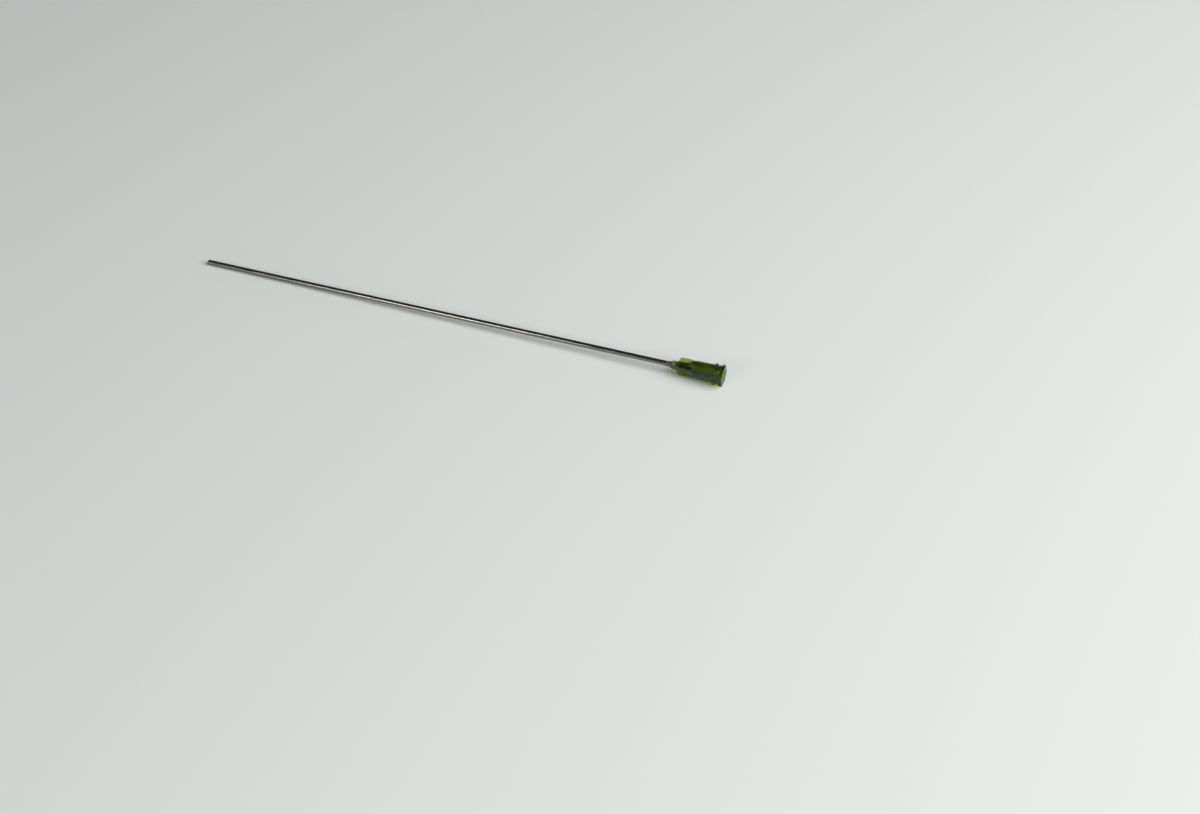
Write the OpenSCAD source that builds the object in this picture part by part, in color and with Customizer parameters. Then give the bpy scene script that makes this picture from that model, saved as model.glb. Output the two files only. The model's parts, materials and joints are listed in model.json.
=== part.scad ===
// Dispensing needle tip: a long, straight 14 gauge stainless steel cannula bonded
// into a moulded hub with a female Luer lock. It lies as it would on a bench, on
// its thread and on the end of the cannula. The origin is the centre of the Luer
// mouth, +X runs along the cannula and +Z is up. All sizes are in millimetres.

/* [Cannula] */
// Outside diameter of the tube
cannula_d = 1.83; // [1.5:0.01:2.2]
// Wall thickness of the tube
cannula_wall = 0.155; // [0.1:0.005:0.25]
// Length of tube that stands out of the nose
cannula_reach = 177.8; // [60:0.1:215]
// Length of tube held inside the nose
cannula_seat = 5.7; // [4.5:0.1:6.8]

/* [Hub] */
// Length of the thicker collar that carries the thread
collar_length = 4.1; // [3.4:0.1:5]
// Length of the plain body between the collar and the shoulder
body_length = 6.2; // [5.2:0.1:7]
// Length of the shoulder, which curves down from the body to the nose
shoulder_length = 3.6; // [3:0.1:4.4]
// Length of the nose, from the shoulder to its end
nose_length = 4.4; // [4.4:0.1:5.4]
// Diameter of the body where it meets the collar
body_d = 6.6; // [6.2:0.05:6.7]
// How much smaller the body is at the shoulder, on the diameter
body_draft = 0.4; // [0.1:0.05:0.6]
// Wall of the nose round the tube, at the root of the nose
nose_wall = 0.785; // [0.65:0.005:0.9]
// How much thinner that wall is at the end of the nose
nose_draft = 0.2; // [0:0.01:0.3]
// Chamfer on the outer edge of the rim and of the nose
edge_chamfer = 0.15; // [0.05:0.01:0.2]

/* [Luer socket] */
// Diameter of the Luer taper at the mouth
luer_mouth_d = 4.3; // [4.27:0.005:4.315]
// Depth of the Luer taper
luer_depth = 8.5; // [7.5:0.1:9.5]
// Diameter of the plain chamber ahead of the taper
chamber_d = 3.4; // [2.8:0.05:3.6]
// Room for adhesive between the tube and its seat in the nose
bond_gap = 0.02; // [0.01:0.005:0.04]
// Thickness of the ledge that stops the tube
ledge = 0.3; // [0.2:0.05:0.5]

/* [Luer lock thread] */
// Diameter over the thread crests
thread_crest_d = 7.8; // [7.73:0.01:7.83]
// Diameter at the thread root, which is the diameter of the collar
thread_root_d = 6.7; // [6.55:0.01:6.73]
// Lead of the two-start thread
thread_lead = 5; // [4.2:0.1:6]
// Width of a thread crest
crest_width = 0.6; // [0.4:0.05:0.8]
// Angle of each thread flank from square to the axis
flank_angle = 28; // [20:1:35]
// Turns made by each of the two threads
thread_turns = 0.62; // [0.4:0.01:0.66]

/* [Wings] */
// Thickness of each of the four grip wings
wing_thickness = 0.95; // [0.7:0.05:1.2]
// Distance from the outer edge of a wing to the axis
wing_radius = 3.08; // [2.6:0.01:3.3]
// Length of a wing's outer edge ahead of the shoulder's start
wing_length = 5.4; // [4.5:0.1:6.5]
// Lean of a wing's front edge towards the nose
wing_rake = 25; // [10:1:35]
// Radius of a wing's outer corner
wing_corner = 0.5; // [0.2:0.05:0.8]
// Turn of the wings about the axis, with the underside of the thread at 0
wing_turn = 44; // [0:1:90]

/* [Adhesive] */
// Depth of the countersunk well in the nose
well_depth = 1.2; // [0.6:0.1:2]
// Width of plain nose left outside the well
well_land = 0.25; // [0.15:0.01:0.35]
// Length of the adhesive fillet along the tube
fillet_length = 2.2; // [1:0.1:3]
// Width of nose left bare round the fillet
fillet_land = 0.06; // [0.02:0.01:0.15]

/* [Hidden] */

$fn = 96;
overlap = 0.1;                 // how far one shape runs into the next
thread_sink = 0.2;             // depth of the thread's foot inside the collar
thread_fade = 24;              // angle over which a thread dies away at its front end
thread_step = 6;               // angle between two sections of a thread
rest_angle = 171;              // angle from a thread's start to where the tip rests on it
wing_sink = 0.3;               // depth of a wing's rear end inside the shoulder
wing_rise = 1;                 // length over which a wing comes out of the shoulder
luer_taper = 0.06;             // loss of diameter per length of a Luer cone
shoulder_steps = 10;
fillet_steps = 5;
fillet_power = 1.3;            // how hollow the fillet's outline is

tube_r = cannula_d / 2;
seat_r = tube_r + bond_gap;
collar_r = thread_root_d / 2;
crest_r = thread_crest_d / 2;
shoulder_z = collar_length + body_length;
nose_z = shoulder_z + shoulder_length;
hub_length = nose_z + nose_length;
body_rear_r = body_d / 2;
body_front_r = body_rear_r - body_draft / 2;
nose_root_r = tube_r + nose_wall;
nose_end_r = nose_root_r - nose_draft;

bore_d = cannula_d - 2 * cannula_wall;
cannula_start = hub_length - cannula_seat;
cannula_end = hub_length + cannula_reach;
funnel_length = (chamber_d - bore_d) / 2;
funnel_z = cannula_start - ledge - funnel_length;

thread_start_z = 0.2;
thread_setback = 0.05;          // how far the thread's cut end stands back from the rim
thread_sweep = 360 * thread_turns;
thread_height = crest_r - collar_r;

// The tip leans forward until a thread's crest and the end of the tube both touch
// the bench. Only one of the two threads reaches round to the underside.
rest_z = thread_start_z + thread_lead * rest_angle / 360 + crest_width / 2;
lean = atan((crest_r - tube_r) / (cannula_end - rest_z));
thread_turn = -rest_angle;

// Outline of half the hub, as [distance from the axis, height above the mouth].
function shoulder_outline() = [
    for (i = [0 : shoulder_steps])
        let (t = i / shoulder_steps, drop = (1 - cos(180 * t)) / 2)
            [body_front_r - (body_front_r - nose_root_r) * drop, shoulder_z + shoulder_length * t]
];

function hub_outline() = concat(
    [
        [0, 0],
        [collar_r - edge_chamfer, 0],
        [collar_r, edge_chamfer],
        [collar_r, collar_length],
        [body_rear_r, collar_length + (collar_r - body_rear_r)]
    ],
    shoulder_outline(),
    [
        [nose_end_r, hub_length - edge_chamfer],
        [nose_end_r - edge_chamfer, hub_length],
        [0, hub_length]
    ]
);

// One section of a thread at an angle from its start. Its rear side is cut off
// flush with the rim, and its height dies away over the last few degrees.
function crest_height(angle) =
    let (left = min(1, (thread_sweep - angle) / thread_fade))
        thread_height * left - thread_sink / 2 * (1 - left);

function thread_section(angle) =
    let (
        centre = thread_start_z + thread_lead * angle / 360,
        top = collar_r + crest_height(angle),
        foot = collar_r - thread_sink,
        half_top = crest_width / 2,
        half_foot = half_top + (top - foot) * tan(flank_angle)
    )
    [
        for (p = [[foot, -half_foot], [top, -half_top], [top, half_top], [foot, half_foot]])
            [p[0] * cos(angle), p[0] * sin(angle), max(thread_setback, centre + p[1])]
    ];

module thread_ridge() {
    sections = [for (a = [0 : thread_step : thread_sweep - thread_step / 2]) a];
    all_sections = concat(sections, [thread_sweep]);
    last = len(all_sections) - 1;
    corners = 4;
    points = [for (a = all_sections) each thread_section(a)];
    sides = [
        for (i = [0 : last - 1], c = [0 : corners - 1])
            let (d = (c + 1) % corners)
                each [
                    [i * corners + c, (i + 1) * corners + d, (i + 1) * corners + c],
                    [i * corners + c, i * corners + d, (i + 1) * corners + d]
                ]
    ];
    start_cap = [[2, 1, 0], [3, 2, 0]];
    end_cap = [for (f = start_cap) [for (i = [2, 1, 0]) f[i] + last * corners]];
    polyhedron(points = points, faces = concat(start_cap, sides, end_cap));
}

module luer_thread() {
    for (start = [0, 180])
        rotate([0, 0, thread_turn + start]) thread_ridge();
}

// One flat plate across the axis makes two opposite wings.
module wing_plate() {
    front_z = shoulder_z + wing_length;
    corner = [wing_radius - wing_corner, front_z - wing_corner * (1 - sin(wing_rake)) / cos(wing_rake)];
    inner_r = nose_root_r / 2;
    inner_z = front_z + (wing_radius - inner_r) * tan(wing_rake);
    arc = [
        for (i = [0 : 3])
            let (a = (90 - wing_rake) * i / 3) corner + wing_corner * [cos(a), sin(a)]
    ];
    rise = [
        [body_front_r - wing_sink, shoulder_z + wing_sink],
        [wing_radius, shoulder_z + wing_sink + wing_rise]
    ];
    half = concat(rise, arc, [[inner_r, inner_z]]);
    other_half = [for (i = [len(half) - 1 : -1 : 0]) [-half[i][0], half[i][1]]];
    rotate([90, 0, 0])
        translate([0, 0, -wing_thickness / 2])
            linear_extrude(wing_thickness) polygon(concat(half, other_half));
}

// Everything the fluid and the tube take out of the hub.
module hub_hollow() {
    luer_end_d = luer_mouth_d - luer_taper * luer_depth;
    translate([0, 0, -overlap])
        cylinder(
            h = luer_depth + overlap,
            d1 = luer_mouth_d + luer_taper * overlap,
            d2 = luer_end_d
        );
    translate([0, 0, luer_depth - overlap])
        cylinder(h = funnel_z - luer_depth + overlap, d = chamber_d);
    translate([0, 0, funnel_z])
        cylinder(h = funnel_length, d1 = chamber_d, d2 = bore_d);
    translate([0, 0, funnel_z])
        cylinder(h = cannula_start - funnel_z + overlap, d = bore_d);
    translate([0, 0, cannula_start])
        cylinder(h = cannula_seat + overlap, r = seat_r);
    translate([0, 0, hub_length - well_depth])
        cylinder(h = well_depth, r1 = seat_r, r2 = nose_end_r - well_land);
}

// Lays a shape made upright round the Z axis down on the bench.
module lay_down() {
    rotate([0, 90 + lean, 0]) children();
}

module hub() {
    color("olivedrab")
        lay_down()
            difference() {
                union() {
                    rotate_extrude() polygon(hub_outline());
                    luer_thread();
                    for (turn = [0, 90])
                        rotate([0, 0, wing_turn + turn]) wing_plate();
                }
                hub_hollow();
            }
}

module cannula() {
    color("silver")
        lay_down()
            translate([0, 0, cannula_start])
                difference() {
                    cylinder(h = cannula_end - cannula_start, d = cannula_d);
                    translate([0, 0, -overlap])
                        cylinder(h = cannula_end - cannula_start + 2 * overlap, d = bore_d);
                }
}

// Fills the well in the nose and rises along the tube as a hollow fillet.
module adhesive() {
    fillet_r = nose_end_r - edge_chamfer - fillet_land;
    fillet = [
        for (i = [0 : fillet_steps])
            let (t = i / fillet_steps)
                [tube_r + (fillet_r - tube_r) * pow(1 - t, fillet_power), hub_length + fillet_length * t]
    ];
    well = [
        [tube_r, hub_length - well_depth],
        [seat_r, hub_length - well_depth],
        [nose_end_r - well_land, hub_length]
    ];
    color("gainsboro")
        lay_down()
            rotate_extrude() polygon(concat(well, fillet));
}

hub();
cannula();
adhesive();
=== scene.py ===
"""Dispensing needle tip: winged Luer lock hub, drawn steel cannula and adhesive fillet.

Every length in the dataclasses is in millimetres, as on a maker's drawing. The
meshes are made along a straight axis, then leaned the way the tip lies on a bench
and scaled to metres.
"""

import json
import logging
import math
from dataclasses import dataclass, field
from enum import Enum
from typing import Any

import bpy
import numpy as np
from mathutils import Matrix, Vector


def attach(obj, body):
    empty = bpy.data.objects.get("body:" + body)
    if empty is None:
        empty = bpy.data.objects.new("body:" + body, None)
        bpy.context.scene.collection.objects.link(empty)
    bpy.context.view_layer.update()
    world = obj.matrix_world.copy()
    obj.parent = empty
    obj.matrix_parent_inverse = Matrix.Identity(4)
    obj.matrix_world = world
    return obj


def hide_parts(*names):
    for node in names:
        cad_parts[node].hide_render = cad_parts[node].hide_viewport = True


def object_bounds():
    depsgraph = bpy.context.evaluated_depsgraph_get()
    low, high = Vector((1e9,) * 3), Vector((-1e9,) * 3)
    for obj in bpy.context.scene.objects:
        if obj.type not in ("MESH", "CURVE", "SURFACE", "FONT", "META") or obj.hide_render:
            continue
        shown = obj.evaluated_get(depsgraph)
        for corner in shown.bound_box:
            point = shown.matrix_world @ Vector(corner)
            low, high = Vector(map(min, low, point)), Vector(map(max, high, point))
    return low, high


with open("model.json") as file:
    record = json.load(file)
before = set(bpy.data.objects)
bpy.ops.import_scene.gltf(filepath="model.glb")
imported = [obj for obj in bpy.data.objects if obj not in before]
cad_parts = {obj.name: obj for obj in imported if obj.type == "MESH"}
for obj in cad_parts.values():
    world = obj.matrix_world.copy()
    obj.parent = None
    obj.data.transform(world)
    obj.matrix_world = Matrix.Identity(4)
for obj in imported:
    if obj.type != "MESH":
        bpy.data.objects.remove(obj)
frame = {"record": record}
CAD_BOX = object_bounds()

LOG = logging.getLogger("needle_tip")
MM = 0.001
Point = tuple[float, float]


class Side(Enum):
    """Which skin of a hollow turned piece a ring of points belongs to."""

    OUTER = 1.0
    INNER = 0.0


# ---------------------------------------------------------------- small helpers
def linear(hex_colour: str) -> tuple[float, float, float, float]:
    """Turns an sRGB hex colour into linear RGBA.

    Args:
        hex_colour: Six hex digits, such as "A0B1C2".

    Returns:
        The linear colour, with an alpha of 1.
    """
    parts = [int(hex_colour[i : i + 2], 16) / 255 for i in (0, 2, 4)]
    red, green, blue = (c / 12.92 if c <= 0.04045 else ((c + 0.055) / 1.055) ** 2.4 for c in parts)
    return (red, green, blue, 1.0)


def add_node(
    tree: bpy.types.NodeTree,
    kind: str,
    settings: dict[str, Any] | None = None,
    **inputs: Any,
) -> bpy.types.Node:
    """Adds one node, with its settings, its input values and its links.

    Args:
        tree: The tree that gets the node.
        kind: The node's type name.
        settings: Attributes set on the node itself.
        **inputs: A value, or an output socket to link, for each input. A name
            with spaces is written with underscores, and i0, i1 and so on count
            the sockets instead.

    Returns:
        The new node.
    """
    node = tree.nodes.new(kind)
    for name, value in (settings or {}).items():
        setattr(node, name, value)
    for name, value in inputs.items():
        counted = name[0] == "i" and name[1:].isdigit()
        socket = node.inputs[int(name[1:])] if counted else node.inputs[name.replace("_", " ")]
        if isinstance(value, bpy.types.NodeSocket):
            tree.links.new(value, socket)
        else:
            socket.default_value = value
    return node


def let_through(
    tree: bpy.types.NodeTree,
    surface: bpy.types.NodeSocket,
    tint: tuple[float, float, float, float],
    density: float,
) -> None:
    """Finishes a clear material: tints what passes through it, and its shadow too.

    Args:
        tree: The material's node tree.
        surface: The shader of the piece's surface.
        tint: Linear colour of the light that gets through.
        density: How fast the light is swallowed, per metre.
    """
    rays = add_node(tree, "ShaderNodeLightPath").outputs
    clear = add_node(tree, "ShaderNodeBsdfTransparent")
    seen = add_node(
        tree, "ShaderNodeMixShader", i0=rays["Is Shadow Ray"], i1=surface, i2=clear.outputs[0],
    )
    volume = add_node(tree, "ShaderNodeVolumeAbsorption", Color=tint, Density=density)
    add_node(tree, "ShaderNodeOutputMaterial", Surface=seen.outputs[0], Volume=volume.outputs[0])


def smooth_step(value: np.ndarray, low: float, high: float) -> np.ndarray:
    """Rises smoothly from 0 at low to 1 at high.

    Args:
        value: The values to grade.
        low: Where the rise starts.
        high: Where the rise ends.

    Returns:
        A share from 0 to 1 for each value.
    """
    t = np.clip((value - low) / (high - low), 0.0, 1.0)
    return t * t * (3 - 2 * t)


def arc(centre: Point, radius: float, start: float, end: float, steps: int) -> list[Point]:
    """Points on a round edge.

    Args:
        centre: The edge's centre, as (along the axis, from the axis).
        radius: The edge's radius.
        start: First angle in degrees, 0 along the axis and 90 away from it.
        end: Last angle in degrees.
        steps: How many steps the edge is cut into.

    Returns:
        The points, both ends included.
    """
    angles = np.radians(np.linspace(start, end, steps + 1))
    return [(centre[0] + radius * math.cos(a), centre[1] + radius * math.sin(a)) for a in angles]


def turned(name: str, outline: list[Point], angles: np.ndarray) -> bpy.types.Object:
    """Turns a closed outline round the X axis into a closed ring-shaped skin.

    Args:
        name: The piece's name.
        outline: (along, radius) points that go once round the wall's section,
            with the wall on the left of the way they run.
        angles: The angle of each column about the axis, in radians, with the
            underside at 0.

    Returns:
        The object, linked to the scene, in millimetres along a straight X axis.
    """
    rings, columns = len(outline), len(angles)
    along = np.repeat([p[0] for p in outline], columns)
    radius = np.repeat([p[1] for p in outline], columns)
    turn = np.tile(angles, rings)
    points = np.stack([along, radius * np.sin(turn), -radius * np.cos(turn)], axis=1)
    faces = [
        (
            i * columns + j,
            i * columns + (j + 1) % columns,
            (i + 1) % rings * columns + (j + 1) % columns,
            (i + 1) % rings * columns + j,
        )
        for i in range(rings)
        for j in range(columns)
    ]
    mesh = bpy.data.meshes.new(name)
    mesh.from_pydata(points.tolist(), [], faces)
    mesh.polygons.foreach_set("use_smooth", [True] * len(faces))
    piece = bpy.data.objects.new(name, mesh)
    bpy.context.scene.collection.objects.link(piece)
    return piece


def baked(piece: bpy.types.Object) -> bpy.types.Object:
    """Turns a piece's live modifiers into plain mesh and removes them.

    Args:
        piece: The piece with its modifiers.

    Returns:
        The same piece, with the finished mesh.
    """
    bpy.context.view_layer.update()
    graph = bpy.context.evaluated_depsgraph_get()
    mesh = bpy.data.meshes.new_from_object(piece.evaluated_get(graph))
    piece.modifiers.clear()
    mesh.name = piece.name
    piece.data = mesh
    return piece


def outward(piece: bpy.types.Object) -> float:
    """Turns the faces outwards where the closed skin is inside out.

    Args:
        piece: A piece with one closed skin.

    Returns:
        The volume inside it, in the piece's own units.
    """
    mesh = piece.data
    mesh.calc_loop_triangles()
    corners = np.array([t.vertices for t in mesh.loop_triangles])
    co = np.empty(len(mesh.vertices) * 3)
    mesh.vertices.foreach_get("co", co)
    a, b, c = (co.reshape(-1, 3)[corners[:, k]] for k in range(3))
    volume = float(np.einsum("ij,ij->i", a, np.cross(b, c)).sum() / 6)
    if volume < 0:
        mesh.flip_normals()
    return abs(volume)


# ------------------------------------------------------------------- finishes
@dataclass(frozen=True)
class OlivePolypropylene:
    """Injection-moulded polypropylene, tinted clear olive.

    Thin wings let most light through and look pale; the thick body round the
    tube and the socket swallows it and looks dark. The mould leaves a satin skin
    with faint flow marks and a fine seam where its two halves met.
    """

    tint: str = "CBD53F"
    skin: str = "F8F8EC"
    density_per_m: float = 2300.0
    ior: float = 1.49
    roughness: float = 0.13
    flow_mark_mm: float = 1.1
    seam_mm: float = 0.06
    parting_turn: float = math.radians(1.0)
    skin_grain_mm: float = 0.12

    def material(self) -> bpy.types.Material:
        """Builds the tinted, light-swallowing plastic.

        Returns:
            The material.
        """
        mat = bpy.data.materials.new("olive_polypropylene_moulded")
        mat.use_nodes = True
        tree = mat.node_tree
        tree.nodes.clear()
        place = add_node(tree, "ShaderNodeTexCoord").outputs["Object"]
        flow = add_node(
            tree, "ShaderNodeTexNoise", Vector=place,
            Scale=1 / (self.flow_mark_mm * MM), Detail=3.0, Roughness=0.55,
        )
        grain = add_node(
            tree, "ShaderNodeTexNoise", Vector=place,
            Scale=1 / (self.skin_grain_mm * MM), Detail=2.0,
        )
        rough = add_node(
            tree, "ShaderNodeMapRange", i0=flow.outputs[0],
            i1=0.3, i2=0.7, i3=self.roughness - 0.05, i4=self.roughness + 0.08,
        )
        apart = add_node(
            tree, "ShaderNodeVectorMath", {"operation": "DOT_PRODUCT"},
            i0=place, i1=(0.0, math.cos(self.parting_turn), math.sin(self.parting_turn)),
        )
        near = add_node(
            tree, "ShaderNodeMath", {"operation": "ABSOLUTE"}, i0=apart.outputs["Value"],
        )
        seam = add_node(
            tree, "ShaderNodeMapRange", i0=near.outputs[0],
            i1=0.0, i2=self.seam_mm * MM, i3=1.0, i4=0.0,
        )
        parting = add_node(
            tree, "ShaderNodeBump", Strength=0.5, Distance=0.03 * MM, Height=seam.outputs[0],
        )
        marks = add_node(
            tree, "ShaderNodeBump", Strength=0.12, Distance=0.05 * MM, Height=flow.outputs[0],
            Normal=parting.outputs[0],
        )
        skin = add_node(
            tree, "ShaderNodeBump", Strength=0.06, Distance=0.01 * MM,
            Height=grain.outputs[0], Normal=marks.outputs[0],
        )
        shader = add_node(
            tree, "ShaderNodeBsdfPrincipled",
            Base_Color=linear(self.skin), Roughness=rough.outputs[0], IOR=self.ior,
            Transmission_Weight=1.0, Specular_IOR_Level=0.15, Normal=skin.outputs[0],
        )
        let_through(tree, shader.outputs[0], linear(self.tint), self.density_per_m)
        return mat


@dataclass(frozen=True)
class DrawnStainless:
    """Stainless steel tube, cold drawn through a die and left bright.

    The die leaves fine lines along the tube, which stretch a highlight into a
    long streak. Real lines are a few hundredths of a millimetre apart; they are
    drawn coarser, so that they show.
    """

    steel: str = "8E8B84"
    line_shade: str = "75726C"
    roughness: float = 0.17
    line_mm: float = 0.16
    line_length_mm: float = 30.0
    smear_mm: float = 7.0

    def material(self, lean: float) -> bpy.types.Material:
        """Builds the drawn steel.

        Args:
            lean: How far the tube's axis leans down, in radians.

        Returns:
            The material.
        """
        mat = bpy.data.materials.new("stainless_steel_drawn")
        mat.use_nodes = True
        tree = mat.node_tree
        tree.nodes.clear()
        place = add_node(tree, "ShaderNodeTexCoord").outputs["Object"]
        across, along = 1 / (self.line_mm * MM), 1 / (self.line_length_mm * MM)
        upright = add_node(
            tree, "ShaderNodeMapping", Vector=place, Rotation=(0.0, -lean, 0.0),
        )
        stretched = add_node(
            tree, "ShaderNodeMapping", Vector=upright.outputs[0], Scale=(along, across, across),
        )
        lines = add_node(
            tree, "ShaderNodeTexNoise", Vector=stretched.outputs[0], Scale=1.0, Detail=4.0,
        )
        smears = add_node(
            tree, "ShaderNodeTexNoise", Vector=place, Scale=1 / (self.smear_mm * MM), Detail=3.0,
        )
        rough = add_node(
            tree, "ShaderNodeMapRange", i0=smears.outputs[0],
            i1=0.35, i2=0.7, i3=self.roughness - 0.05, i4=self.roughness + 0.09,
        )
        drawn = add_node(
            tree, "ShaderNodeBump", Strength=0.35, Distance=0.01 * MM, Height=lines.outputs[0],
        )
        shade = add_node(
            tree, "ShaderNodeMix", {"data_type": "RGBA"}, Factor=lines.outputs[0],
            i6=linear(self.steel), i7=linear(self.line_shade),
        )
        shader = add_node(
            tree, "ShaderNodeBsdfPrincipled",
            Base_Color=shade.outputs[2], Metallic=1.0, Roughness=rough.outputs[0],
            Normal=drawn.outputs[0],
        )
        add_node(tree, "ShaderNodeOutputMaterial", Surface=shader.outputs[0])
        return mat


@dataclass(frozen=True)
class CuredEpoxy:
    """Clear epoxy, cured in place: glossy, slightly cloudy, with tiny bubbles."""

    resin: str = "8A8874"
    tint: str = "5C5C49"
    density_per_m: float = 1400.0
    ior: float = 1.52
    roughness: float = 0.14
    bubble_mm: float = 0.3

    def material(self) -> bpy.types.Material:
        """Builds the cloudy resin.

        Returns:
            The material.
        """
        mat = bpy.data.materials.new("epoxy_resin_cured")
        mat.use_nodes = True
        tree = mat.node_tree
        tree.nodes.clear()
        place = add_node(tree, "ShaderNodeTexCoord").outputs["Object"]
        cells = add_node(
            tree, "ShaderNodeTexVoronoi", Vector=place, Scale=1 / (self.bubble_mm * MM),
        )
        bubbles = add_node(
            tree, "ShaderNodeMapRange", i0=cells.outputs["Distance"],
            i1=0.1, i2=0.3, i3=1.0, i4=0.0,
        )
        swirl = add_node(
            tree, "ShaderNodeTexNoise", Vector=place, Scale=1 / (1.4 * MM), Detail=2.0,
        )
        rough = add_node(
            tree, "ShaderNodeMapRange", i0=swirl.outputs[0],
            i1=0.3, i2=0.7, i3=self.roughness, i4=self.roughness + 0.16,
        )
        ripple = add_node(
            tree, "ShaderNodeBump", Strength=0.25, Distance=0.03 * MM, Height=bubbles.outputs[0],
        )
        shader = add_node(
            tree, "ShaderNodeBsdfPrincipled",
            Base_Color=linear(self.resin), Roughness=rough.outputs[0], IOR=self.ior,
            Transmission_Weight=0.85, Normal=ripple.outputs[0],
        )
        let_through(tree, shader.outputs[0], linear(self.tint), self.density_per_m)
        return mat


# --------------------------------------------------------------- sub-assemblies
@dataclass(frozen=True)
class TipFrame:
    """Where the tip lies: its leaned axis and its sizes, read from the record."""

    axis: Vector
    lean: float
    tube_r: float
    bore_r: float
    tube_start: float
    tube_end: float

    @classmethod
    def from_record(cls, record: dict[str, Any]) -> "TipFrame":
        """Reads the axis and the tube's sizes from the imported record.

        Args:
            record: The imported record.

        Returns:
            The frame that every piece is laid in.
        """
        mounts = {m["name"]: m for m in record["mounts"]}
        bore, outside = mounts["cannula_bore"], mounts["cannula_outside"]
        axis = Vector(bore["axis"]).normalized()
        middle, half = Vector(bore["pos_m"]).length / MM, bore["dims"]["length_mm"] / 2
        return cls(
            axis=axis,
            lean=math.atan2(-axis.z, axis.x),
            tube_r=outside["dims"]["r_mm"],
            bore_r=bore["dims"]["r_mm"],
            tube_start=middle - half,
            tube_end=middle + half,
        )

    def lay(self, piece: bpy.types.Object) -> bpy.types.Object:
        """Leans a finished piece onto the bench and turns it to metres, in its mesh."""
        piece.data.transform(Matrix.Rotation(self.lean, 4, "Y") @ Matrix.Scale(MM, 4))
        piece.data.update()
        return piece


Row = tuple[Any, ...]

RELIEF_INPUTS = (
    "Thread lead", "Thread starts", "Thread rise", "Thread half foot", "Flank slope",
    "Thread sweep", "Thread fade", "Thread first", "Thread turn", "Wing count", "Wing turn",
    "Wing half thickness", "Wing radius", "Wing rear", "Wing rear radius", "Wing rise slope",
    "Wing front", "Wing rake slope",
)

# Each row of a rule is one sum: what it gives, its operation and its terms. A term is
# a number, or the name of an input, of a size or of an earlier row.
TURN_RULE: tuple[Row, ...] = (
    ("minus z", "MULTIPLY", "z", -1.0),
    ("turn", "ARCTAN2", "y", "minus z"),
    ("between", "DIVIDE", math.tau, "Thread starts"),
)

# Angle from one start of the thread, then distance from that crest's middle.
START_RULE: tuple[Row, ...] = (
    ("turned on", "ADD", "turn", "Thread turn"),
    ("set back", "MULTIPLY", "between", "start"),
    ("shifted", "SUBTRACT", "turned on", "set back"),
    ("angle", "WRAP", "shifted", math.tau, 0.0),
    ("pace", "DIVIDE", "Thread lead", math.tau),
    ("middle", "MULTIPLY_ADD", "angle", "pace", "Thread first"),
    ("past middle", "SUBTRACT", "along", "middle"),
    ("off", "ABSOLUTE", "past middle"),
    ("to go", "SUBTRACT", "Thread sweep", "angle"),
    ("left", "DIVIDE", "to go", "Thread fade"),
    ("begun", "DIVIDE", "angle", "start ramp"),
    ("ends", "MINIMUM", "left", "begun"),
    ("share", "MINIMUM", "ends", 1.0),
    ("height", "MULTIPLY", "Thread rise", "share"),
    ("inside foot", "SUBTRACT", "Thread half foot", "off"),
    ("flank", "DIVIDE", "inside foot", "Flank slope"),
    ("ridge", "SMOOTH_MIN", "height", "flank", "crest blend"),
    ("crest", "MAXIMUM", "crest", "ridge"),
)

# The thread on the collar, then the wings: angle from the nearest wing, then the
# plate's faces and outline.
SKIN_RULE: tuple[Row, ...] = (
    ("swell", "SMOOTH_MAX", "crest", 0.0, "thread root blend"),
    ("threaded", "ADD", "core", "swell"),
    ("on collar", "LESS_THAN", "along", "collar length"),
    ("thread gain", "SUBTRACT", "threaded", "core"),
    ("thread rise", "MULTIPLY", "on collar", "thread gain"),
    ("with thread", "ADD", "core", "thread rise"),
    ("pitch", "DIVIDE", math.tau, "Wing count"),
    ("from wing", "SUBTRACT", "turn", "Wing turn"),
    ("half pitch", "MULTIPLY", "pitch", 0.5),
    ("minus half pitch", "MULTIPLY", "pitch", -0.5),
    ("folded", "WRAP", "from wing", "half pitch", "minus half pitch"),
    ("past rear", "SUBTRACT", "along", "Wing rear"),
    ("rear", "MULTIPLY_ADD", "past rear", "Wing rise slope", "Wing rear radius"),
    ("to front", "SUBTRACT", "Wing front", "along"),
    ("front", "MULTIPLY_ADD", "to front", "Wing rake slope", "Wing radius"),
    ("wing ends", "MINIMUM", "rear", "front"),
    ("outline", "SMOOTH_MIN", "Wing radius", "wing ends", "corner blend"),
    ("cosine", "COSINE", "folded"),
    ("edge", "DIVIDE", "outline", "cosine"),
    ("sine", "SINE", "folded"),
    ("steepness", "ABSOLUTE", "sine"),
    ("safe sine", "MAXIMUM", "steepness", "least sine"),
    ("side", "DIVIDE", "Wing half thickness", "safe sine"),
    ("plate", "SMOOTH_MIN", "edge", "side", "edge blend"),
    ("winged", "SMOOTH_MAX", "core", "plate", "wing root blend"),
    ("on wings", "GREATER_THAN", "along", "wing zone"),
    ("wing gain", "SUBTRACT", "winged", "core"),
    ("wing rise", "MULTIPLY", "on wings", "wing gain"),
    ("raised", "ADD", "with thread", "wing rise"),
    ("rise", "SUBTRACT", "raised", "core"),
    ("radius", "MULTIPLY_ADD", "skin", "rise", "core"),
)


@dataclass
class LuerThread:
    """The two-start lock thread round the collar."""

    lead: float = 5.0
    starts: int = 2
    rise: float = 0.55
    crest_width: float = 0.6
    flank_deg: float = 28.0
    sweep_deg: float = 223.2
    fade_deg: float = 24.0
    first_z: float = 0.2
    underside_deg: float = 171.0
    start_ramp: float = 0.05
    crest_blend: float = 0.1
    root_blend: float = 0.06


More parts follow.
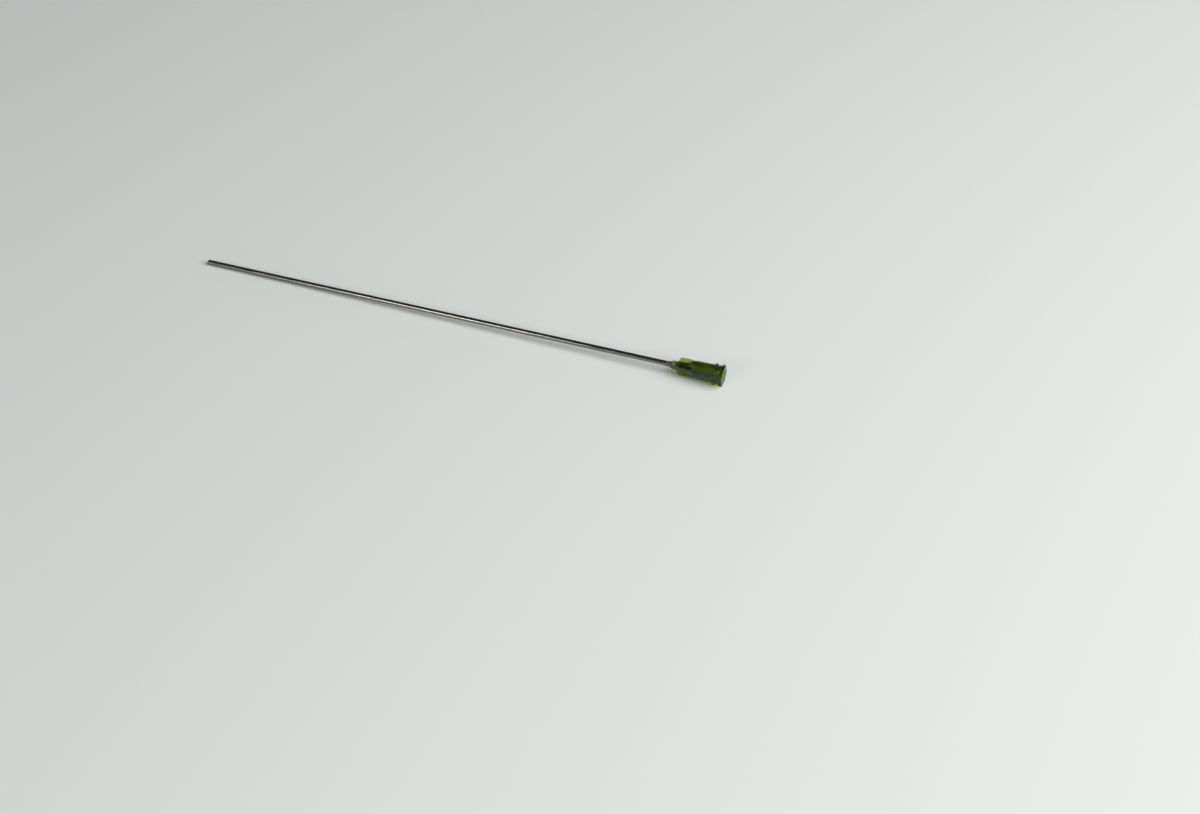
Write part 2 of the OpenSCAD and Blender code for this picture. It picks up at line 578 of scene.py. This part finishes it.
@dataclass
class GripWings:
    """The four flat grips round the nose."""

    count: int = 4
    thickness: float = 0.95
    radius: float = 3.08
    rear_z: float = 10.6
    rear_r: float = 2.8
    rise_length: float = 1.0
    front_z: float = 15.7
    rake_deg: float = 25.0
    turn_deg: float = 44.0
    zone_z: float = 10.35
    corner_blend: float = 0.45
    edge_blend: float = 0.3
    root_blend: float = 0.25
    least_sine: float = 0.02


@dataclass
class Hub:
    """The moulded hub: collar, body, shoulder, nose, Luer socket, thread and wings."""

    tip: TipFrame
    finish: OlivePolypropylene
    thread: LuerThread = field(default_factory=LuerThread)
    wings: GripWings = field(default_factory=GripWings)
    collar_r: float = 3.35
    collar_length: float = 4.1
    body_rear_r: float = 3.3
    body_front_r: float = 3.1
    shoulder_z: float = 10.3
    shoulder_length: float = 3.6
    nose_root_r: float = 1.7
    nose_end_r: float = 1.5
    length: float = 18.3
    edge: float = 0.15
    mouth_r: float = 2.15
    socket_depth: float = 8.5
    socket_end_r: float = 1.895
    chamber_r: float = 1.7
    bond_gap: float = 0.02
    ledge: float = 0.3
    well_depth: float = 1.2
    well_land: float = 0.25

    def columns(self) -> np.ndarray:
        """Angles of the skin's columns, crowded where the wings' faces and edges lie.

        Returns:
            The angles in radians, in order round the axis.
        """
        half = [0, 3, 5.5, 7, 8, 8.6, 9.1, 9.6, 10.2, 11, 12, 13.2, 14.5, 16, 17.5, 19.5]
        half += [22.5, 26, 30, 34, 38, 42]
        fan = sorted({-a for a in half} | set(half) | {45.0})
        step = 360 / self.wings.count
        return np.radians(
            [self.wings.turn_deg + k * step + a for k in range(self.wings.count) for a in fan]
        )

    def outer_line(self) -> list[Point]:
        """The outside, from the rim to the end of the nose, as (along, radius).

        Returns:
            The points of the outside.
        """
        line = arc((self.edge, self.collar_r - self.edge), self.edge, 180, 90, 5)
        line += [(z, self.collar_r) for z in np.arange(0.2, self.collar_length - 0.02, 0.045)]
        line.append((self.collar_length, self.collar_r - 0.005))
        line.append((self.collar_length + 0.06, self.body_rear_r))
        taper = self.body_rear_r - self.body_front_r
        for z in (4.5, 5.4, 6.6, 7.8, 9.0, 9.8):
            part = (z - self.collar_length) / (self.shoulder_z - self.collar_length)
            line.append((z, self.body_rear_r - taper * part))
        for t in np.linspace(0, 1, 37):
            drop = (1 - math.cos(math.pi * t)) / 2
            radius = self.body_front_r - (self.body_front_r - self.nose_root_r) * drop
            line.append((self.shoulder_z + self.shoulder_length * t, radius))
        nose_start = self.shoulder_z + self.shoulder_length
        fall = (self.nose_root_r - self.nose_end_r) / (self.length - nose_start)
        stations = [14.2, 14.5, 14.8, 15.05, *np.arange(15.2, 16.75, 0.05), 17.0, 17.5, 18.0]
        line += [(z, self.nose_root_r - fall * (z - nose_start)) for z in stations]
        line += arc((self.length - self.edge, self.nose_end_r - self.edge), self.edge, 90, 0, 5)
        return line

    def inner_line(self) -> list[Point]:
        """The hollow, from the end of the nose back to the mouth, as (along, radius).

        Returns:
            The points of the hollow.
        """
        seat_r = self.tip.tube_r + self.bond_gap
        well_z, seat_z = self.length - self.well_depth, self.tip.tube_start
        funnel_front = seat_z - self.ledge
        funnel_rear = funnel_front - (self.chamber_r - self.tip.bore_r)
        well_r = self.nose_end_r - self.well_land
        line = [(self.length, well_r + 0.03), (self.length - 0.03, well_r)]
        line += [(well_z + 0.3, seat_r + 0.08), (well_z, seat_r), (seat_z + 0.05, seat_r)]
        line += [(seat_z, seat_r - 0.02), (seat_z, self.tip.bore_r + 0.02)]
        line += [(seat_z - 0.03, self.tip.bore_r), (funnel_front, self.tip.bore_r)]
        line += [(funnel_rear, self.chamber_r), (funnel_rear - 0.15, self.chamber_r)]
        depth = self.socket_depth
        line += [(depth + 0.04, self.chamber_r), (depth, self.chamber_r + 0.03)]
        line += [(depth, self.socket_end_r - 0.02), (depth - 0.03, self.socket_end_r)]
        taper = (self.mouth_r - self.socket_end_r) / self.socket_depth
        line += [(z, self.mouth_r - taper * z) for z in (7.5, 6.0, 4.5, 3.0, 1.5, 0.5)]
        line.append((0.12, self.mouth_r - taper * 0.12))
        line += [(0.03, self.mouth_r + 0.02), (0.0, self.mouth_r + 0.08)]
        return line

    def relief(self, mat: bpy.types.Material) -> bpy.types.NodeTree:
        """Builds the rule that raises the thread and the wings out of the turned skin.

        Args:
            mat: The hub's finish.

        Returns:
            A geometry node tree with a named input for each size.
        """
        tree = bpy.data.node_groups.new("thread_and_wings", "GeometryNodeTree")
        tree.interface.new_socket("Geometry", in_out="INPUT", socket_type="NodeSocketGeometry")
        for name in RELIEF_INPUTS:
            tree.interface.new_socket(name, in_out="INPUT", socket_type="NodeSocketFloat")
        tree.interface.new_socket("Geometry", in_out="OUTPUT", socket_type="NodeSocketGeometry")
        sizes = add_node(tree, "NodeGroupInput").outputs

        place = add_node(tree, "GeometryNodeInputPosition").outputs[0]
        split = add_node(tree, "ShaderNodeSeparateXYZ", Vector=place).outputs
        flat = add_node(tree, "ShaderNodeCombineXYZ", i1=split[1], i2=split[2]).outputs[0]
        core = add_node(tree, "ShaderNodeVectorMath", {"operation": "LENGTH"}, i0=flat)
        skin = add_node(
            tree, "GeometryNodeInputNamedAttribute", {"data_type": "FLOAT"}, Name="outer_skin",
        )
        thread, wings = self.thread, self.wings
        values: dict[Any, Any] = {name: sizes[name] for name in RELIEF_INPUTS}
        values |= {"along": split[0], "y": split[1], "z": split[2]}
        values |= {"core": core.outputs["Value"], "skin": skin.outputs[0], "crest": 0.0}
        values |= {"start ramp": thread.start_ramp, "crest blend": thread.crest_blend}
        values |= {"thread root blend": thread.root_blend, "collar length": self.collar_length}
        values |= {"corner blend": wings.corner_blend, "edge blend": wings.edge_blend}
        values |= {"wing root blend": wings.root_blend, "wing zone": wings.zone_z}
        values |= {"least sine": wings.least_sine}
        rows: list[Row] = list(TURN_RULE)
        for start in map(float, range(thread.starts)):
            rows += [tuple(start if t == "start" else t for t in row) for row in START_RULE]
        rows += SKIN_RULE
        for result, operation, *terms in rows:
            inputs = {f"i{k}": values.get(term, term) for k, term in enumerate(terms)}
            step = add_node(tree, "ShaderNodeMath", {"operation": operation}, **inputs)
            values[result] = step.outputs[0]

        unit = add_node(
            tree, "ShaderNodeVectorMath", {"operation": "NORMALIZE"}, i0=flat,
        ).outputs[0]
        outwards = add_node(
            tree, "ShaderNodeVectorMath", {"operation": "SCALE"}, i0=unit, Scale=values["radius"],
        ).outputs[0]
        axial = add_node(tree, "ShaderNodeCombineXYZ", i0=split[0]).outputs[0]
        moved = add_node(
            tree, "ShaderNodeVectorMath", {"operation": "ADD"}, i0=axial, i1=outwards,
        )
        shaped = add_node(
            tree, "GeometryNodeSetPosition",
            Geometry=sizes["Geometry"], Position=moved.outputs[0],
        )
        real = add_node(tree, "GeometryNodeRealizeInstances", Geometry=shaped.outputs[0])
        dressed = add_node(tree, "GeometryNodeSetMaterial", Geometry=real.outputs[0], Material=mat)
        add_node(tree, "NodeGroupOutput", i0=dressed.outputs[0])
        return tree

    def relief_sizes(self) -> dict[str, float]:
        """The value of each named input of the relief rule, in millimetres and radians.

        Returns:
            Each input's name and its value.
        """
        thread, wings = self.thread, self.wings
        slope = math.tan(math.radians(thread.flank_deg))
        return {
            "Thread lead": thread.lead,
            "Thread starts": float(thread.starts),
            "Thread rise": thread.rise,
            "Thread half foot": thread.crest_width / 2 + thread.rise * slope,
            "Flank slope": slope,
            "Thread sweep": math.radians(thread.sweep_deg),
            "Thread fade": math.radians(thread.fade_deg),
            "Thread first": thread.first_z,
            "Thread turn": math.radians(thread.underside_deg),
            "Wing count": float(wings.count),
            "Wing turn": math.radians(wings.turn_deg),
            "Wing half thickness": wings.thickness / 2,
            "Wing radius": wings.radius,
            "Wing rear": wings.rear_z,
            "Wing rear radius": wings.rear_r,
            "Wing rise slope": (wings.radius - wings.rear_r) / wings.rise_length,
            "Wing front": wings.front_z,
            "Wing rake slope": 1 / math.tan(math.radians(wings.rake_deg)),
        }

    def build(self) -> bpy.types.Object:
        """Makes the hub in one closed skin and puts it in the CAD hub's place.

        Returns:
            The finished piece.
        """
        outer, inner = self.outer_line(), self.inner_line()
        piece = turned("hub_moulding", outer + inner, self.columns())
        columns = len(self.columns())
        along = np.repeat([p[0] for p in outer], columns)
        share = smooth_step(along, 0.02, 0.05) * Side.OUTER.value
        skin = np.concatenate([share, np.full(len(inner) * columns, Side.INNER.value)])
        piece.data.attributes.new("outer_skin", "FLOAT", "POINT").data.foreach_set("value", skin)
        mat = self.finish.material()
        piece.data.materials.append(mat)
        rule = piece.modifiers.new("relief", "NODES")
        rule.node_group = self.relief(mat)
        items = rule.node_group.interface.items_tree
        sockets = {s.name: s.identifier for s in items if s.in_out == "INPUT"}
        for name, value in self.relief_sizes().items():
            rule[sockets[name]] = value
        baked(piece)
        piece.data.attributes.remove(piece.data.attributes["outer_skin"])
        LOG.info("hub skin holds %.1f mm3", outward(piece))
        self.tip.lay(piece)
        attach(piece, "root")
        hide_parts("hub")
        return piece


@dataclass
class Cannula:
    """The drawn steel tube, cut square and lightly broken at both ends."""

    tip: TipFrame
    finish: DrawnStainless
    broken_edge: float = 0.03
    columns: int = 72

    def outline(self) -> list[Point]:
        """The wall's section, once round, as (along, radius).

        Returns:
            The points of the section.
        """
        tip, edge = self.tip, self.broken_edge
        start, end = tip.tube_start, tip.tube_end
        line = arc((start + edge, tip.tube_r - edge), edge, 180, 90, 3)
        line += [(z, tip.tube_r) for z in np.linspace(start + 1, end - 1, 40)]
        line += arc((end - edge, tip.tube_r - edge), edge, 90, 0, 3)
        line += arc((end - edge, tip.bore_r + edge), edge, 0, -90, 3)
        line += [(z, tip.bore_r) for z in np.linspace(end - 1, start + 1, 20)]
        line += arc((start + edge, tip.bore_r + edge), edge, -90, -180, 3)
        return line

    def build(self) -> bpy.types.Object:
        """Makes the tube and puts it in the CAD cannula's place.

        Returns:
            The finished piece.
        """
        angles = np.linspace(0, math.tau, self.columns, endpoint=False)
        piece = turned("cannula_tube", self.outline(), angles)
        piece.data.materials.append(self.finish.material(self.tip.lean))
        LOG.info("cannula wall holds %.1f mm3", outward(piece))
        self.tip.lay(piece)
        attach(piece, "root")
        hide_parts("cannula")
        return piece


@dataclass
class AdhesiveFillet:
    """The cured adhesive that fills the nose's well and climbs the tube."""

    tip: TipFrame
    finish: CuredEpoxy
    foot_r: float = 1.27
    well_depth: float = 1.2
    well_r: float = 1.25
    seat_r: float = 0.935
    hub_length: float = 18.3
    climb: float = 2.2
    hollow: float = 1.3
    tube_gap: float = 0.004
    thin_edge: float = 0.012
    sag_turn: float = 0.4
    sag_share: float = 0.5
    lobes: int = 3
    lobe_turn: float = 1.1
    lobe_share: float = 0.2
    uneven: float = 0.1
    shrink: float = 0.08
    settle: float = 3.0
    columns: int = 72

    def outline(self) -> list[Point]:
        """The fillet's section, once round, as (along, radius).

        Returns:
            The points of the section.
        """
        inner_r = self.tip.tube_r + self.tube_gap
        edge = self.thin_edge
        line = [(self.hub_length - self.well_depth, self.seat_r - 0.002)]
        line += [(self.hub_length - 0.6, 1.085), (self.hub_length - 0.005, self.well_r - 0.01)]
        for t in np.linspace(0.0, 1.0, 26):
            radius = inner_r + edge + (self.foot_r - inner_r - edge) * (1 - t) ** self.hollow
            line.append((self.hub_length + 0.005 + (self.climb - 0.01) * t, radius))
        line += [(self.hub_length + self.climb, inner_r), (self.hub_length + 1.0, inner_r)]
        line.append((self.hub_length - self.well_depth, inner_r))
        return line

    def build(self) -> bpy.types.Object:
        """Makes the fillet, a little uneven as hand-dosed resin is, in the CAD fillet's place.

        Returns:
            The finished piece.
        """
        angles = np.linspace(0, math.tau, self.columns, endpoint=False)
        piece = turned("adhesive_fillet", self.outline(), angles)
        for vertex in piece.data.vertices:
            along, around = vertex.co.x, math.atan2(vertex.co.y, -vertex.co.z)
            radius = math.hypot(vertex.co.y, vertex.co.z)
            ahead = along - self.hub_length
            if ahead <= 0 or radius < self.tip.tube_r + self.thin_edge:
                continue
            sag = math.cos(around - self.sag_turn) * self.sag_share
            sag += math.cos(self.lobes * around + self.lobe_turn) * self.lobe_share
            share = (self.uneven * sag - self.shrink) * min(1, ahead * self.settle)
            stand = (radius - self.tip.tube_r) * share
            scale = (radius + stand) / radius
            vertex.co.y *= scale
            vertex.co.z *= scale
        piece.data.materials.append(self.finish.material())
        LOG.info("adhesive holds %.2f mm3", outward(piece))
        self.tip.lay(piece)
        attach(piece, "root")
        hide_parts("adhesive")
        return piece


# ------------------------------------------------------------------------ stage
@dataclass
class Studio:
    """A plain pale floor, soft lamps and the camera."""

    floor_z: float
    lens_mm: float = 52.2
    camera_mm: tuple[float, float, float] = (-100.3, 419.1, 405.0)
    near_m: float = 0.36
    far_m: float = 0.95
    haze: str = "D3D6D3"
    heading_deg: float = -70.94
    dip_deg: float = 44.38
    floor_half_m: float = 12.0
    paper: str = "D0D4D2"
    ceiling: str = "4B4D4A"
    wall_top: float = 0.12
    ceiling_start: float = 0.4
    aim_m: tuple[float, float, float] = (0.08, 0.0, 0.0)
    key_m: tuple[float, float, float] = (-1.05, 0.15, 0.95)
    key_size_m: float = 1.4
    key_watts: float = 36.5
    streak_m: tuple[float, float, float] = (0.64, 1.2, 0.72)
    streak_size_m: float = 0.28
    streak_watts: float = 3.6

    def floor(self) -> bpy.types.Object:
        """Lays the floor, which fades far away into the pale surroundings.

        Returns:
            The floor.
        """
        mesh = bpy.data.meshes.new("floor")
        half = self.floor_half_m
        corners = ((-half, -half), (half, -half), (half, half), (-half, half))
        mesh.from_pydata([(x, y, self.floor_z) for x, y in corners], [], [(0, 1, 2, 3)])
        piece = bpy.data.objects.new("floor", mesh)
        bpy.context.scene.collection.objects.link(piece)
        mat = bpy.data.materials.new("paper_backdrop_matt")
        mat.use_nodes = True
        tree = mat.node_tree
        tree.nodes.clear()
        shader = add_node(
            tree, "ShaderNodeBsdfPrincipled", Base_Color=linear(self.paper), Roughness=0.9,
            Specular_IOR_Level=0.1,
        )
        place = add_node(tree, "ShaderNodeTexCoord").outputs["Object"]
        away = add_node(tree, "ShaderNodeVectorMath", {"operation": "LENGTH"}, i0=place)
        far = add_node(
            tree, "ShaderNodeMapRange", {"interpolation_type": "SMOOTHSTEP"},
            i0=away.outputs["Value"], i1=self.near_m, i2=self.far_m, i3=0.0, i4=1.0,
        )
        glow = add_node(tree, "ShaderNodeEmission", Color=linear(self.haze))
        faded = add_node(
            tree, "ShaderNodeMixShader",
            i0=far.outputs[0], i1=shader.outputs[0], i2=glow.outputs[0],
        )
        add_node(tree, "ShaderNodeOutputMaterial", Surface=faded.outputs[0])
        mesh.materials.append(mat)
        return piece

    def lamp(self, name: str, place: Vector, aim: Vector, size: float, watts: float) -> None:
        """Hangs one soft square lamp.

        Args:
            name: The lamp's name.
            place: Its place in metres.
            aim: The point that it faces.
            size: Its side in metres.
            watts: Its power.
        """
        light = bpy.data.lights.new(name, "AREA")
        light.size = size
        light.energy = watts
        lamp = bpy.data.objects.new(name, light)
        lamp.location = place
        lamp.rotation_euler = (aim - place).to_track_quat("-Z", "Y").to_euler()
        bpy.context.scene.collection.objects.link(lamp)

    def light(self) -> None:
        """Sets the soft lamps and the pale surroundings."""
        aim = Vector(self.aim_m)
        self.lamp("key_lamp", Vector(self.key_m), aim, self.key_size_m, self.key_watts)
        self.lamp("streak_lamp", Vector(self.streak_m), aim, self.streak_size_m, self.streak_watts)
        world = bpy.data.worlds.new("studio")
        bpy.context.scene.world = world
        world.use_nodes = True
        tree = world.node_tree
        tree.nodes.clear()
        # Pale walls up to a low height all round, under a dim ceiling.
        heading = add_node(tree, "ShaderNodeTexCoord").outputs["Generated"]
        height = add_node(tree, "ShaderNodeSeparateXYZ", Vector=heading).outputs[2]
        ceiling = add_node(
            tree, "ShaderNodeMapRange", {"interpolation_type": "SMOOTHSTEP"},
            i0=height, i1=self.wall_top, i2=self.ceiling_start, i3=0.0, i4=1.0,
        )
        shade = add_node(
            tree, "ShaderNodeMix", {"data_type": "RGBA"}, Factor=ceiling.outputs[0],
            i6=linear(self.haze), i7=linear(self.ceiling),
        )
        back = add_node(tree, "ShaderNodeBackground", Color=shade.outputs[2], Strength=1.0)
        add_node(tree, "ShaderNodeOutputWorld", Surface=back.outputs[0])

    def camera(self) -> None:
        """Puts the camera where it looks down at the hub and along the tube."""
        camera = bpy.data.cameras.new("camera")
        camera.lens = self.lens_mm
        camera.sensor_width = 36.0
        camera.sensor_fit = "HORIZONTAL"
        camera.clip_start = 0.01
        rig = bpy.data.objects.new("camera", camera)
        heading, dip = math.radians(self.heading_deg), math.radians(self.dip_deg)
        look = Vector(
            (math.cos(heading) * math.cos(dip), math.sin(heading) * math.cos(dip), -math.sin(dip))
        )
        rig.location = Vector(self.camera_mm) * MM
        rig.rotation_euler = look.to_track_quat("-Z", "Y").to_euler()
        bpy.context.scene.collection.objects.link(rig)
        bpy.context.scene.camera = rig

    def build(self) -> None:
        """Builds the floor, the lamps and the camera."""
        self.floor()
        self.light()
        self.camera()
        bpy.context.scene.view_settings.view_transform = "Standard"


def main() -> None:
    """Builds each sub-assembly in order and says what each piece is."""
    logging.basicConfig(level=logging.INFO, format="%(name)s: %(message)s")
    tip = TipFrame.from_record(frame["record"])
    pieces = [
        Hub(tip, OlivePolypropylene()).build(),
        Cannula(tip, DrawnStainless()).build(),
        AdhesiveFillet(tip, CuredEpoxy()).build(),
    ]
    for piece in pieces:
        LOG.info("%s: %d faces", piece.name, len(piece.data.polygons))
    Studio(floor_z=CAD_BOX[0][2]).build()


if __name__ == "__main__":
    main()
